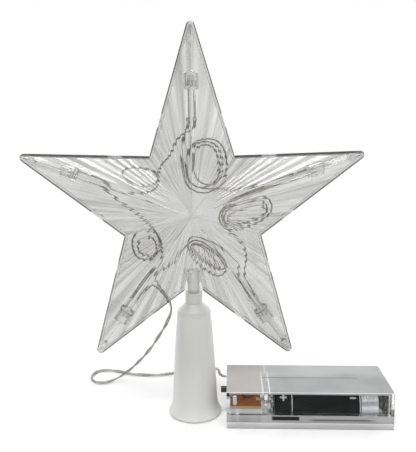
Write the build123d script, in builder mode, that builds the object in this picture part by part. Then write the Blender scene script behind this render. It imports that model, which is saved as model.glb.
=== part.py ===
from build123d import *
import math
import os

# A clear five-pointed tree topper star with lamps inside, on a frosted socket, and its battery case.
# Millimetres, Z up. The origin is the middle of the socket's mouth, the star faces -Y.

# Star outline: the reach of each arm before its tip is rounded, and the notches between the arms
star_centre_height = 102.1
top_arm_reach = 92.4
side_arm_reach = 89.7
lower_arm_reach = 88.4
upper_notch_radius = 33.5
side_notch_radius = 34.7
lower_notch_radius = 34.8
side_arm_angle = 18.7
lower_arm_angle = -55.8
upper_notch_angle = 53.4
side_notch_angle = -18.9
tip_radius = 2.0

# Star shells: one half from the parting plane to its apex, and the flutes inside it
apex_depth = 15.0
apex_wall = 1.7
rim_depth = 1.5
rim_wall = 1.8
plain_radius = 13.0
flute_crest_depth = 0.72
flute_trough_depth = 1.0
flutes_per_facet = 10

# Snap tongues along the rim, and the posts that line the halves up near the tips
tongue_length = 6.0
tongue_thickness = 0.8
tongue_depth = 1.0
tongue_share = 0.25
lower_tongue_share = 0.45
post_reach = 79.6
post_radius = 1.9
pin_radius = 0.8
pin_length = 1.4

# Tree socket
foot_radius = 13.2
foot_lip_radius = 1.4
flare_height = 8.0
flare_radius = 11.1
flare_mid_share = 0.4
shoulder_radius = 8.0
shoulder_rise = 3.3
body_bulge = 0.35
neck_radius = 4.2
neck_length = 5.2
socket_radius = 9.6
socket_land = 10.0
socket_roof = 1.6
socket_top_radius = 6.5
plug_radius = 2.8
plug_length = 10.5
bead_radius = 3.2
bead_height = 1.2
bead_share = 0.6
collar_drop = 4.8
collar_roof = 1.5

# Lamps: five millimetre domes, each in a square cradle in its arm
lamp_radius = 2.5
lamp_body_length = 6.1
lamp_flange_radius = 2.9
lamp_flange = 1.0
lamp_seat_reach = 57.4
cradle_length = 6.0
cradle_width = 6.2
leg_size = 0.5
leg_pitch = 2.54
joint_length = 1.6
joint_radius = 0.7
top_joint_reach = 43.0
side_joint_reach = 51.0
lower_joint_reach = 51.0

# Wires inside the star, laid in loops round the centre
wire_radius = 0.4
loop_pitch = 1.5
layer_gap = 1.6
bend_share = 0.45
gap_samples = 500
gap_skip_radii = 12

# Lead from the star to the battery case
lead_radius = 0.9
lead_exit_share = 0.235
lead_inside_length = 6.0

# Battery case, in its own frame from its front left lower corner; the cells set its inside
case_x = 15.3
case_y = -17.5
case_turn = -2.3
case_wall = 1.5
case_floor = 2.2
case_roof = 1.2
seam_height = 7.7
cover_length = 19.3
cover_end_wall = 1.3
partition_wall = 1.1
rail_base = 0.5
rail_top = 0.8
rail_height = 0.7
finger_tab = 1.2
finger_tab_width = 8.0
finger_tab_height = 1.8
finger_tab_lift = 9.3

# Circuit board and what stands on it
board_margin = 0.4
board_length = 14.6
board_thickness = 1.2
board_room = 6.2
peg_inset = 2.0
peg_radius = 1.0
peg_lift = 4.0
board_post_radius = 2.0
chip_radius = 3.0
chip_height = 1.2
chip_round_share = 0.8
chip_across = 10.3
chip_spacing = 10.5
resistor_radius = 1.1
resistor_length = 6.0
resistor_across = 10.5
resistor_inset = 6.8
resistor_leg_radius = 0.3
resistor_leg_reach = 1.4
pad_length = 2.0
pad_width = 2.6
pad_height = 1.9
pad_start = 6.6
pad_pitch = 1.6

# Slide switch
switch_start = 1.7
switch_offset = 2.0
switch_length = 4.4
switch_width = 8.6
switch_height = 4.1
switch_sheet = 0.3
switch_block_height = 0.6
knob_size = 2.4
knob_reach = 2.9
knob_lift = 2.0
knob_travel = 2.0
carriage_length = 2.4
carriage_width = 4.0
carriage_height = 2.2
switch_pin_radius = 0.35
switch_pin_pitch = 2.5
switch_pin_drop = 1.0
lead_hole_inset = 4.2
lead_hole_lift = 2.8

# AA cells and contacts
cell_radius = 7.1
cell_length = 50.5
cell_spacing = 0.7
sleeve_thickness = 0.15
button_radius = 2.75
button_length = 1.2
seal_radius = 4.6
seal_thickness = 0.3
contact_thickness = 0.4
contact_width = 9.0
contact_height = 11.0
contact_tab_width = 2.4
contact_tab_reach = 14.4
bridge_margin = 4.0
spring_length = 5.1
spring_wire_radius = 0.3
spring_base_radius = 4.6
spring_tip_radius = 2.2
spring_quarter_turns = 10
spring_lead_in = 1.35

# Clearances: a close fit, a sliding fit, open room, and how far cuts run past a face
fit_clearance = 0.05
slide_clearance = 0.1
open_clearance = 0.3
overrun = 1.0

LOW = (Align.MIN, Align.MIN, Align.MIN)
STANDING = (Align.CENTER, Align.CENTER, Align.MIN)

os.makedirs("parts", exist_ok=True)


def keep(part, name):
    """Label a finished piece and write it."""
    part.label = name
    export_step(part, f"parts/{name}.step")


# Star geometry in its own plane: points are (across, up) from the star's centre
def polar(angle, radius):
    return (radius * math.cos(math.radians(angle)), radius * math.sin(math.radians(angle)))


def front(point, depth):
    """A star point placed in front of the parting plane."""
    return (point[0], -depth, star_centre_height + point[1])


arms = {
    "top": (90, top_arm_reach, top_joint_reach),
    "right": (side_arm_angle, side_arm_reach, side_joint_reach),
    "lower_right": (lower_arm_angle, lower_arm_reach, lower_joint_reach),
    "lower_left": (180 - lower_arm_angle, lower_arm_reach, lower_joint_reach),
    "left": (180 - side_arm_angle, side_arm_reach, side_joint_reach),
}
notches = [
    polar(upper_notch_angle, upper_notch_radius),
    polar(side_notch_angle, side_notch_radius),
    polar(-90, lower_notch_radius),
    polar(180 - side_notch_angle, side_notch_radius),
    polar(180 - upper_notch_angle, upper_notch_radius),
]
tips = [polar(angle, reach) for angle, reach, _ in arms.values()]
outline = [point for pair in zip(tips, notches) for point in pair]


def toward(start, end, share):
    return tuple(a + (b - a) * share for a, b in zip(start, end))


def edge_direction(start, end):
    length = math.dist(start, end)
    return ((end[0] - start[0]) / length, (end[1] - start[1]) / length)


def inset_outline(points, distance):
    """The outline, which runs clockwise, moved in by one distance along all its edges."""
    moved = []
    for before, here, after in zip(points[-1:] + points[:-1], points, points[1:] + points[:1]):
        into = edge_direction(before, here)
        out = edge_direction(here, after)
        inward = [(into[1], -into[0]), (out[1], -out[0])]
        reach = distance / (1 + inward[0][0] * inward[1][0] + inward[0][1] * inward[1][1])
        moved.append(tuple(here[i] + reach * (inward[0][i] + inward[1][i]) for i in (0, 1)))
    return moved


def turn_between(start, end):
    return math.atan2(start[0] * end[1] - start[1] * end[0], start[0] * end[0] + start[1] * end[1])


def on_edge(start, end, share):
    """The point of an edge seen from the star's centre at a share of the edge's angle."""
    angle = math.atan2(start[1], start[0]) + turn_between(start, end) * share
    ray = (math.cos(angle), math.sin(angle))
    along = (end[0] - start[0], end[1] - start[1])
    radius = (start[0] * along[1] - start[1] * along[0]) / (ray[0] * along[1] - ray[1] * along[0])
    return (radius * ray[0], radius * ray[1])


def solid_of(faces):
    return Solid(Shell([Face(Wire.make_polygon(points, close=True)) for points in faces]))


def around(first, second):
    """Four-cornered faces between two closed rows of points."""
    count = len(first)
    return [(first[i], first[(i + 1) % count], second[(i + 1) % count], second[i]) for i in range(count)]


def fan(row, peak):
    return [(row[i], row[(i + 1) % len(row)], peak) for i in range(len(row))]


def split_around(first, second):
    """Three-cornered faces between two closed rows of points."""
    return [face for a, b, c, d in around(first, second) for face in ((a, b, d), (b, c, d))]


# Outer block of one half: a rim band and ten flat facets that meet at the apex
outer_rim = [front(point, rim_depth) for point in outline]
outer_foot = [front(point, 0) for point in outline]
outer_block = solid_of(
    [outer_foot] + around(outer_foot, outer_rim) + fan(outer_rim, front((0, 0), apex_depth))
)

# Hollow of one half: its roof is fluted from a plain middle out to the rim
hollow_outline = inset_outline(outline, rim_wall)
flute_steps = 2 * flutes_per_facet
hollow_edges = zip(hollow_outline, hollow_outline[1:] + hollow_outline[:1])
fluted = [
    on_edge(start, end, step / flute_steps)
    for start, end in hollow_edges
    for step in range(flute_steps)
]
flute_depths = [flute_trough_depth, flute_crest_depth]
hollow_apex = apex_depth - apex_wall
roof_drop = hollow_apex - flute_trough_depth
hollow_floor = [front(point, -overrun) for point in fluted]
hollow_rim = [front(point, flute_depths[number % 2]) for number, point in enumerate(fluted)]
hollow_ring = [
    front(
        toward((0, 0), point, plain_radius / math.hypot(*point)),
        hollow_apex - roof_drop * plain_radius / math.hypot(*point),
    )
    for point in fluted
]
hollow_block = solid_of(
    [hollow_floor]
    + around(hollow_floor, hollow_rim)
    + split_around(hollow_rim, hollow_ring)
    + fan(hollow_ring, front((0, 0), hollow_apex))
)


def arm_plane(name, reach):
    """A plane across an arm: X clockwise round the star, Y to the back, Z out to the tip."""
    angle = math.radians(arms[name][0])
    return Plane(
        origin=front(polar(arms[name][0], reach), 0),
        x_dir=(math.sin(angle), 0, -math.cos(angle)),
        z_dir=(math.cos(angle), 0, math.sin(angle)),
    )


def facing(point):
    """A plane in the parting plane with its normal to the front."""
    return Plane(origin=front(point, 0), x_dir=(1, 0, 0), z_dir=(0, -1, 0))


lamp_middle_reach = lamp_seat_reach + lamp_flange + slide_clearance + cradle_length / 2
with BuildPart() as hollow:
    add(hollow_block)
    for name in arms:
        with Locations(arm_plane(name, lamp_middle_reach)):
            Box(cradle_width, 2 * apex_depth, cradle_length, mode=Mode.SUBTRACT)
        with Locations(facing(polar(arms[name][0], post_reach))):
            Cylinder(post_radius, 2 * apex_depth, mode=Mode.SUBTRACT)

# Where the lead leaves: through the rim, on the inner edge of the lower left arm
lower_edge = edge_direction(notches[2], tips[3])
lead_exit = toward(notches[2], tips[3], lead_exit_share)
lead_outward = (-lower_edge[1], lower_edge[0])
lead_hole_plane = Plane(origin=front(lead_exit, 0), z_dir=(lead_outward[0], 0, lead_outward[1]))
neck_top_height = star_centre_height - lower_notch_radius - collar_drop
plug_top_height = neck_top_height + plug_length
bead_middle_height = neck_top_height + plug_length * bead_share

with BuildPart() as half_star:
    add(outer_block)
    with BuildSketch(facing((0, 0))) as rounded:
        with BuildLine():
            Polyline(*outline, close=True)
        make_face()
        fillet(rounded.vertices().sort_by(SortBy.DISTANCE)[-len(arms):], radius=tip_radius)
    extrude(amount=apex_depth + overrun, mode=Mode.INTERSECT)
    add(hollow.part, mode=Mode.SUBTRACT)
    # Half of the collar that grips the socket's plug
    with BuildSketch(Plane.XY.offset(neck_top_height)):
        Circle(neck_radius)
        with Locations((0, neck_radius)):
            Rectangle(2 * neck_radius, 2 * neck_radius, mode=Mode.SUBTRACT)
    extrude(amount=plug_length + collar_roof)
    with Locations((0, 0, neck_top_height - overrun)):
        Cylinder(
            plug_radius + fit_clearance,
            plug_length + overrun + open_clearance,
            align=STANDING,
            mode=Mode.SUBTRACT,
        )
    with Locations((0, 0, bead_middle_height)):
        Cylinder(bead_radius + fit_clearance, bead_height + 2 * slide_clearance, mode=Mode.SUBTRACT)
    with Locations(lead_hole_plane):
        Cylinder(lead_radius + open_clearance, 4 * rim_wall, mode=Mode.SUBTRACT)
    for name in arms:
        with Locations(arm_plane(name, lamp_middle_reach)):
            Cylinder(
                lamp_radius + fit_clearance, cradle_length + 2 * slide_clearance, mode=Mode.SUBTRACT
            )


def tongue_planes():
    """One place on each edge of the outline: X along the edge, Y into the rim, Z to the back."""
    places = []
    for number, start in enumerate(outline):
        end = outline[(number + 1) % len(outline)]
        at_lower_notch = notches[2] in (start, end)
        share = lower_tongue_share if at_lower_notch else tongue_share
        middle = toward(end, start, share) if end in notches else toward(start, end, share)
        along = edge_direction(start, end)
        places.append(Plane(origin=front(middle, 0), x_dir=(along[0], 0, along[1]), z_dir=(0, 1, 0)))
    return places


RIM_FACE = (Align.CENTER, Align.MIN, Align.MIN)
tip_places = [facing(polar(angle, post_reach)) for angle, _, _ in arms.values()]

with BuildPart() as star_front_shell:
    add(half_star.part)
    with Locations(*tongue_planes()):
        Box(tongue_length, tongue_thickness, tongue_depth, align=RIM_FACE)
    with Locations(*tip_places):
        Cylinder(
            pin_radius + fit_clearance,
            pin_length + open_clearance,
            align=STANDING,
            mode=Mode.SUBTRACT,
        )
keep(star_front_shell.part, "star_front_shell")

with BuildPart() as star_back_shell:
    add(mirror(half_star.part, about=Plane.XZ, mode=Mode.PRIVATE))
    with Locations(*tongue_planes()):
        with Locations((0, -slide_clearance, -overrun)):
            Box(
                tongue_length + 2 * slide_clearance,
                tongue_thickness + 2 * slide_clearance,
                tongue_depth + overrun + slide_clearance,
                align=RIM_FACE,
                mode=Mode.SUBTRACT,
            )
    with Locations(*tip_places):
        Cylinder(pin_radius, pin_length, align=STANDING)
keep(star_back_shell.part, "star_back_shell")

# Tree socket: hollow from below, with a neck and a beaded plug that the star's collar closes on
flare_rise = flare_height - foot_lip_radius
flare_waist = foot_radius - flare_radius
flare_middle = (
    flare_radius + flare_waist * flare_mid_share,
    foot_lip_radius + flare_rise * flare_mid_share,
)
neck_start_height = neck_top_height - neck_length
shoulder_height = neck_start_height - shoulder_rise
socket_top_height = shoulder_height - socket_roof
foot_edge = foot_radius - foot_lip_radius
body_middle = (
    (flare_radius + shoulder_radius) / 2 + body_bulge,
    (flare_height + shoulder_height) / 2,
)
hollow_middle = (
    (socket_radius + socket_top_radius) / 2 + body_bulge,
    (socket_land + socket_top_height) / 2,
)
with BuildPart() as tree_socket:
    with BuildSketch(Plane.XZ):
        with BuildLine():
            Line((socket_radius, 0), (foot_edge, 0))
            RadiusArc((foot_edge, 0), (foot_radius, foot_lip_radius), -foot_lip_radius)
            ThreePointArc((foot_radius, foot_lip_radius), flare_middle, (flare_radius, flare_height))
            ThreePointArc((flare_radius, flare_height), body_middle, (shoulder_radius, shoulder_height))
            Polyline(
                (shoulder_radius, shoulder_height),
                (neck_radius, neck_start_height),
                (neck_radius, neck_top_height),
                (plug_radius, neck_top_height),
                (plug_radius, plug_top_height),
                (0, plug_top_height),
                (0, socket_top_height),
                (socket_top_radius, socket_top_height),
            )
            ThreePointArc(
                (socket_top_radius, socket_top_height), hollow_middle, (socket_radius, socket_land)
            )
            Line((socket_radius, socket_land), (socket_radius, 0))
        make_face()
    revolve(axis=Axis.Z)
    with Locations((0, 0, bead_middle_height)):
        Cylinder(bead_radius, bead_height)
keep(tree_socket.part, "tree_socket")

# Lamps, their legs and the solder joints
for name in arms:
    with BuildPart(arm_plane(name, lamp_seat_reach)) as lamp:
        Cylinder(lamp_flange_radius, lamp_flange, align=STANDING)
        Cylinder(lamp_radius, lamp_body_length, align=STANDING)
        with Locations((0, 0, lamp_body_length)):
            Sphere(lamp_radius)
    keep(lamp.part, f"lamp_{name}")

with BuildPart() as lamp_legs:
    for name, (_, _, joint_reach) in arms.items():
        leg_start = joint_reach + joint_length
        with Locations(arm_plane(name, leg_start)):
            with Locations((-leg_pitch / 2, 0, 0), (leg_pitch / 2, 0, 0)):
                Box(leg_size, leg_size, lamp_seat_reach - leg_start, align=STANDING)
keep(lamp_legs.part, "lamp_legs")

with BuildPart() as solder_joints:
    for name, (_, _, joint_reach) in arms.items():
        with Locations(arm_plane(name, joint_reach)):
            with Locations((-leg_pitch / 2, 0, 0), (leg_pitch / 2, 0, 0)):
                Cylinder(joint_radius, joint_length, align=STANDING)
keep(solder_joints.part, "solder_joints")


# Wires: straight runs joined by arcs as large as the runs allow
def bend_radii(points):
    radii = []
    for before, here, after in zip(points, points[1:], points[2:]):
        run_in = Vector(*here) - Vector(*before)
        run_out = Vector(*after) - Vector(*here)
        half_turn = math.radians(run_in.get_angle(run_out)) / 2
        radii.append(bend_share * min(run_in.length, run_out.length) / math.tan(half_turn))
    return radii


def least_gap(path, radius):
    """The least gap of a tube to itself, measured on points along its path."""
    length = path.length
    spots = [path.position_at(step / gap_samples) for step in range(gap_samples + 1)]
    apart = math.ceil(gap_samples * gap_skip_radii * radius / length)
    pairs = ((a, b) for n, a in enumerate(spots) for b in spots[n + apart:])
    return min((a - b).length for a, b in pairs) - 2 * radius


def tube(points, radius, name):
    """One unbroken round tube along a row of points."""
    radii = bend_radii(points)
    with BuildPart() as piece:
        with BuildLine() as path:
            FilletPolyline(*points, radius=radii)
        route = path.wires()[0]
        with BuildSketch(Plane(origin=points[0], z_dir=Vector(*points[1]) - Vector(*points[0]))):
            Circle(radius)
        sweep()
    section = math.pi * radius**2
    print(
        name,
        f"length {route.length:.1f}",
        f"least bend {min(radii):.2f}",
        f"least gap to itself {least_gap(route, radius):.2f}",
        f"volume to section times length {piece.part.volume / (section * route.length):.4f}",
    )
    keep(piece.part, name)
    return radii


def leg_wire(name, side, reach_share=1):
    """A point on the wire of one leg, along its arm, at a share of its solder joint's reach."""
    reach = arms[name][2] * reach_share
    return tuple(arm_plane(name, reach).from_local_coords((side * leg_pitch / 2, 0, 0)))


def in_star(across_share, up_share):
    """A place near the star's centre, as shares of the side notches' radius."""
    return front((across_share * side_notch_radius, up_share * side_notch_radius), 0)


CORNERS = {"top_right": (1, 1), "top_left": (-1, 1), "bottom_left": (-1, -1), "bottom_right": (1, -1)}


def loops(centre_shares, half_shares, tilt, first, inward_corners, outward_corners):
    """Loops that spiral in on the front layer, climb along one run and spiral out on the back layer."""
    order = list(CORNERS)
    start = order.index(first)
    turn = math.radians(tilt)
    deepest = inward_corners - 1
    points = []
    for number in range(inward_corners + outward_corners):
        inset = number if number < inward_corners else deepest - (number - inward_corners)
        layer = layer_gap / 2 if number < inward_corners else -layer_gap / 2
        signs = CORNERS[order[(start + number) % len(order)]]
        aside, upward = [
            sign * (half * side_notch_radius - loop_pitch * inset / len(order))
            for half, sign in zip(half_shares, signs)
        ]
        place = (
            centre_shares[0] * side_notch_radius + aside * math.cos(turn) - upward * math.sin(turn),
            centre_shares[1] * side_notch_radius + aside * math.sin(turn) + upward * math.cos(turn),
        )
        points.append(front(place, layer))
    return points


def near_lead(inward_share, aside):
    """A point inside the star's rim at the lead: shares of its inside length inward, and a way aside."""
    inward = lead_inside_length * inward_share
    return front(
        (
            lead_exit[0] - inward * lead_outward[0] - aside * lead_outward[1],
            lead_exit[1] - inward * lead_outward[1] + aside * lead_outward[0],
        ),
        0,
    )


strand_aside = wire_radius + fit_clearance
wires = {
    "feed_wire": [
        near_lead(1, -strand_aside),
        near_lead(1.8, -strand_aside),
        near_lead(2.2, -0.6 * lead_inside_length),
        leg_wire("lower_left", -1),
    ],
    "left_loop_wire": [
        leg_wire("lower_left", 1),
        leg_wire("lower_left", 1, 0.68),
        *loops((-0.634, -0.484), (0.23, 0.26), 0, "bottom_right", 6, 4),
        in_star(-0.72, -0.03),
        in_star(-1.0, 0.16),
        leg_wire("left", -1, 0.863),
        leg_wire("left", -1),
    ],
    "upper_left_loop_wire": [
        leg_wire("left", 1),
        leg_wire("left", 1, 0.863),
        *loops((-0.735, 0.467), (0.303, 0.179), 0, "bottom_left", 4, 3),
        in_star(-0.28, 0.78),
        in_star(-0.2, 1.01),
        leg_wire("top", -1, 0.895),
        leg_wire("top", -1),
    ],
    "top_loop_wire": [
        leg_wire("top", 1),
        leg_wire("top", 1, 0.895),
        *loops((0.178, 0.634), (0.282, 0.357), 0, "top_left", 8, 7),
        in_star(0.605, 0.29),
        leg_wire("right", -1, 0.824),
        leg_wire("right", -1),
    ],
    "right_loop_wire": [
        leg_wire("right", 1),
        leg_wire("right", 1, 0.824),
        *loops((0.72, 0.0), (0.346, 0.216), side_arm_angle, "top_right", 8, 7),
        in_star(0.68, -0.42),
        in_star(0.75, -0.65),
        leg_wire("lower_right", -1, 0.784),
        leg_wire("lower_right", -1),
    ],
    "lower_loop_wire": [
        leg_wire("lower_right", 1),
        leg_wire("lower_right", 1, 0.745),
        *loops((0.23, -0.634), (0.331, 0.173), -35, "top_right", 8, 7),
        in_star(-0.32, -0.75),
        near_lead(2.64, 0.8 * lead_inside_length),
        near_lead(2.3, strand_aside),
        near_lead(1, strand_aside),
    ],
}
for name, points in wires.items():
    tube(points, wire_radius, name)

# Lead: out through the rim, down to the table, round a loop and behind the socket to the case
lead_route = [
    (-15.34, 0.0, 63.05),
    (-10.33, 0.0, 56.56),
    (-12.6, 2.0, 48.0),
    (-17.5, 8.5, 38.4),
    (-24.0, 17.0, 26.5),
    (-31.5, 27.0, 15.5),
    (-38.5, 35.5, 6.5),
    (-45.0, 36.5, 1.6),
    (-51.5, 31.5, 1.0),
    (-58.0, 33.5, 1.0),
    (-61.5, 41.0, 1.0),
    (-58.5, 49.0, 1.0),
    (-50.5, 50.0, 1.0),
    (-41.5, 45.0, 1.0),
    (-32.0, 42.3, 1.0),
    (-21.5, 42.0, 1.0),
    (-11.0, 45.5, 1.0),
    (0.0, 45.5, 2.0),
    (8.0, 39.5, 5.0),
    (11.6, 30.0, 10.1),
    (12.6, 20.5, 13.3),
    (12.4, 14.4, 13.9),
    (14.55, 11.05, 13.6),
    (18.64, 10.89, 13.6),
    (21.04, 10.79, 11.9),
    (23.02, 10.71, 11.9),
]
print("lead bends", [round(radius, 1) for radius in tube(lead_route, lead_radius, "lead_cord")])

# Battery case: every piece is placed in the case's own frame
case_angle = math.radians(case_turn)
case_plane = Plane(
    origin=(case_x, case_y, 0), x_dir=(math.cos(case_angle), math.sin(case_angle), 0), z_dir=(0, 0, 1)
)


def case_section(along):
    """A plane across the case at a distance from its left end: X to the back, Y up."""
    return Plane(
        origin=case_plane.from_local_coords((along, 0, 0)),
        x_dir=case_plane.y_dir,
        z_dir=case_plane.x_dir,
    )


def slab(along, back, up, mode=Mode.ADD):
    """A block in the case's frame, from its lower and upper limits on each axis."""
    with Locations((along[0], back[0], up[0])):
        Box(along[1] - along[0], back[1] - back[0], up[1] - up[0], align=LOW, mode=mode)


def spread(middle, width):
    return (middle - width / 2, middle + width / 2)


# Along the case: cover, partition, contact, cell, spring, contact and end wall
door_start = cover_length + open_clearance
partition_start = door_start + open_clearance
contact_face = partition_start + partition_wall
cell_contact = contact_face + contact_thickness
front_flat = cell_contact + cell_length
bridge_face = front_flat + spring_length
rear_flat = bridge_face - cell_length
inside_end = bridge_face + contact_thickness + slide_clearance
case_length = inside_end + case_wall

# Across the case and up it
front_cell_back = case_wall + open_clearance + cell_radius
rear_cell_back = front_cell_back + 2 * cell_radius + cell_spacing
inside_back = rear_cell_back + cell_radius + open_clearance
case_depth = inside_back + case_wall
cell_height = case_floor + open_clearance + cell_radius
partition_height = cell_height + contact_height / 2
roof_height = cell_height + cell_radius + open_clearance
case_height = roof_height + case_roof

# Board, switch and lead hole
board_start = case_wall + board_margin
board_end = board_start + board_length
board_front = case_wall + board_margin
board_back = inside_back - board_margin
board_top_height = roof_height - board_room
board_low = board_top_height - board_thickness
switch_back = case_depth / 2 - switch_offset
knob_height = board_top_height + knob_lift
knob_back = switch_back + knob_travel / 2
resistor_along = board_back - resistor_inset
chip_along = resistor_along - chip_spacing
lead_hole_back = case_depth - lead_hole_inset
lead_hole_height = board_top_height + lead_hole_lift
post_alongs = (board_start + peg_inset, board_end - peg_inset)
post_backs = (board_front + peg_inset, board_back - peg_inset)
peg_places = list(zip(post_alongs, post_backs))
post_places = [(along, back) for along in post_alongs for back in post_backs]
tab_height = (board_top_height, board_top_height + contact_thickness)


def rail_profile(middle, room):
    """The dovetail that the door runs on, at the middle of a wall, with some room all round."""
    low = rail_base / 2 + room
    high = rail_top / 2 + room
    Polygon(
        (middle - low, seam_height - room),
        (middle + low, seam_height - room),
        (middle + high, seam_height + rail_height + room),
        (middle - high, seam_height + rail_height + room),
        align=None,
    )


wall_middles = (case_wall / 2, case_depth - case_wall / 2)

with BuildPart(case_plane) as case_tray:
    slab((0, case_length), (0, case_depth), (0, seam_height))
    slab(
        (case_wall, inside_end),
        (case_wall, inside_back),
        (case_floor, seam_height + overrun),
        Mode.SUBTRACT,
    )
    slab((partition_start, contact_face), (case_wall, inside_back), (case_floor, seam_height))
    slab(
        (partition_start, contact_face),
        (case_wall + open_clearance, inside_back - open_clearance),
        (case_floor, partition_height),
    )
    for cell_back in (front_cell_back, rear_cell_back):
        slab(
            (partition_start - overrun, contact_face + overrun),
            spread(cell_back, contact_tab_width + 2 * slide_clearance),
            (board_top_height - slide_clearance, partition_height + overrun),
            Mode.SUBTRACT,
        )
    with Locations(*[(x, y, case_floor) for x, y in post_places]):
        Cylinder(board_post_radius, board_low - case_floor, align=STANDING)
    with Locations(*[(x, y, board_low) for x, y in peg_places]):
        Cylinder(peg_radius, board_thickness + peg_lift, align=STANDING)
    for middle in wall_middles:
        with BuildSketch(case_section(door_start + open_clearance)):
            rail_profile(middle, 0)
        extrude(amount=inside_end - door_start - 2 * open_clearance)
keep(case_tray.part, "case_tray")

with BuildPart(case_plane) as case_cover:
    slab((0, cover_length), (0, case_depth), (seam_height, case_height))
    slab(
        (case_wall, cover_length - cover_end_wall),
        (case_wall, inside_back),
        (seam_height - overrun, roof_height),
        Mode.SUBTRACT,
    )
    slab(
        (-overrun, case_wall + overrun),
        spread(switch_back, knob_size + knob_travel + 2 * open_clearance),
        spread(knob_height, knob_size + 2 * open_clearance),
        Mode.SUBTRACT,
    )
    for cell_back in (front_cell_back, rear_cell_back):
        slab(
            (cover_length - cover_end_wall - overrun, cover_length + overrun),
            spread(cell_back, contact_tab_width + 2 * open_clearance),
            (tab_height[0] - open_clearance, tab_height[1] + open_clearance),
            Mode.SUBTRACT,
        )
    with Locations((case_wall / 2, lead_hole_back, lead_hole_height)):
        Cylinder(
            lead_radius + open_clearance,
            case_wall + 2 * overrun,
            rotation=(0, 90, 0),
            mode=Mode.SUBTRACT,
        )
keep(case_cover.part, "case_cover")

with BuildPart(case_plane) as battery_door:
    slab((door_start, case_length), (0, case_depth), (seam_height, case_height))
    slab(
        (door_start - overrun, inside_end),
        (case_wall, inside_back),
        (seam_height - overrun, roof_height),
        Mode.SUBTRACT,
    )
    for middle in wall_middles:
        with BuildSketch(case_section(door_start - overrun)):
            rail_profile(middle, slide_clearance)
        extrude(amount=inside_end - door_start + overrun, mode=Mode.SUBTRACT)
    slab(
        (case_length, case_length + finger_tab),
        spread(front_cell_back, finger_tab_width),
        (finger_tab_lift, finger_tab_lift + finger_tab_height),
    )
keep(battery_door.part, "battery_door")

# Circuit board, its chip, its resistor and the pads of the lead
switch_front = switch_start + switch_length
switch_pin_along = (switch_start + switch_front) / 2
switch_pin_backs = [switch_back + number * switch_pin_pitch for number in (-1, 0, 1)]
resistor_leg_backs = [
    resistor_along + sign * (resistor_length / 2 + resistor_leg_reach) for sign in (-1, 1)
]
with BuildPart(case_plane) as circuit_board:
    slab((board_start, board_end), (board_front, board_back), (board_low, board_top_height))
    with Locations(*[(x, y, board_top_height) for x, y in peg_places]):
        Hole(peg_radius + fit_clearance)
    with Locations(*[(switch_pin_along, back, board_top_height) for back in switch_pin_backs]):
        Hole(switch_pin_radius + fit_clearance)
    with Locations(*[(resistor_across, back, board_top_height) for back in resistor_leg_backs]):
        Hole(resistor_leg_radius + fit_clearance)
keep(circuit_board.part, "circuit_board")

with BuildPart(case_plane) as controller_chip:
    with Locations((chip_across, chip_along, board_top_height)):
        Cylinder(chip_radius, chip_height, align=STANDING)
    fillet(controller_chip.faces().sort_by(Axis.Z)[-1].edges(), radius=chip_height * chip_round_share)
keep(controller_chip.part, "controller_chip")

resistor_height = board_top_height + open_clearance + resistor_radius
with BuildPart(case_plane) as resistor:
    with Locations((resistor_across, resistor_along, resistor_height)):
        Cylinder(resistor_radius, resistor_length, rotation=(90, 0, 0))
    fillet(resistor.edges().filter_by(GeomType.CIRCLE), radius=resistor_radius / 2)
keep(resistor.part, "resistor")

leg_group = []
for sign in (-1, 1):
    leg_points = [
        case_plane.from_local_coords((resistor_across, resistor_along + sign * back, height))
        for back, height in (
            (resistor_length / 2, resistor_height),
            (resistor_length / 2 + resistor_leg_reach, resistor_height),
            (resistor_length / 2 + resistor_leg_reach, board_low - resistor_leg_reach),
        )
    ]
    with BuildPart() as resistor_leg:
        with BuildLine():
            FilletPolyline(*leg_points, radius=resistor_leg_reach / 2)
        with BuildSketch(Plane(origin=leg_points[0], z_dir=leg_points[1] - leg_points[0])):
            Circle(resistor_leg_radius)
        sweep()
    leg_group.append(resistor_leg.part)
with BuildPart() as resistor_legs:
    add(leg_group)
keep(resistor_legs.part, "resistor_legs")

with BuildPart(case_plane) as lead_pads:
    for sign in (-1, 1):
        slab(
            (pad_start, pad_start + pad_length),
            spread(lead_hole_back + sign * pad_pitch / 2, pad_width / 2),
            (board_top_height, board_top_height + pad_height),
        )
keep(lead_pads.part, "lead_pads")

# Slide switch: a folded can over a block, with a carriage that carries the knob
switch_wide = spread(switch_back, switch_width)
switch_top_height = board_top_height + switch_height
with BuildPart(case_plane) as switch_can:
    slab((switch_start, switch_front), switch_wide, (board_top_height, switch_top_height))
    slab(
        (switch_start + switch_sheet, switch_front - switch_sheet),
        spread(switch_back, switch_width - 2 * switch_sheet),
        (board_top_height - overrun, switch_top_height - switch_sheet),
        Mode.SUBTRACT,
    )
    slab(
        (switch_start - overrun, switch_start + switch_sheet + overrun),
        spread(switch_back, knob_size + knob_travel + 2 * slide_clearance),
        spread(knob_height, knob_size + 2 * slide_clearance),
        Mode.SUBTRACT,
    )
keep(switch_can.part, "switch_can")

block_room = switch_sheet + slide_clearance
with BuildPart(case_plane) as switch_block:
    slab(
        (switch_start + block_room, switch_front - block_room),
        spread(switch_back, switch_width - 2 * block_room),
        (board_top_height, board_top_height + switch_block_height),
    )
keep(switch_block.part, "switch_block")

with BuildPart(case_plane) as switch_pins:
    with Locations(*[(switch_pin_along, back, board_top_height) for back in switch_pin_backs]):
        Cylinder(
            switch_pin_radius,
            board_thickness + switch_pin_drop,
            align=(Align.CENTER, Align.CENTER, Align.MAX),
        )
keep(switch_pins.part, "switch_pins")

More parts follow.
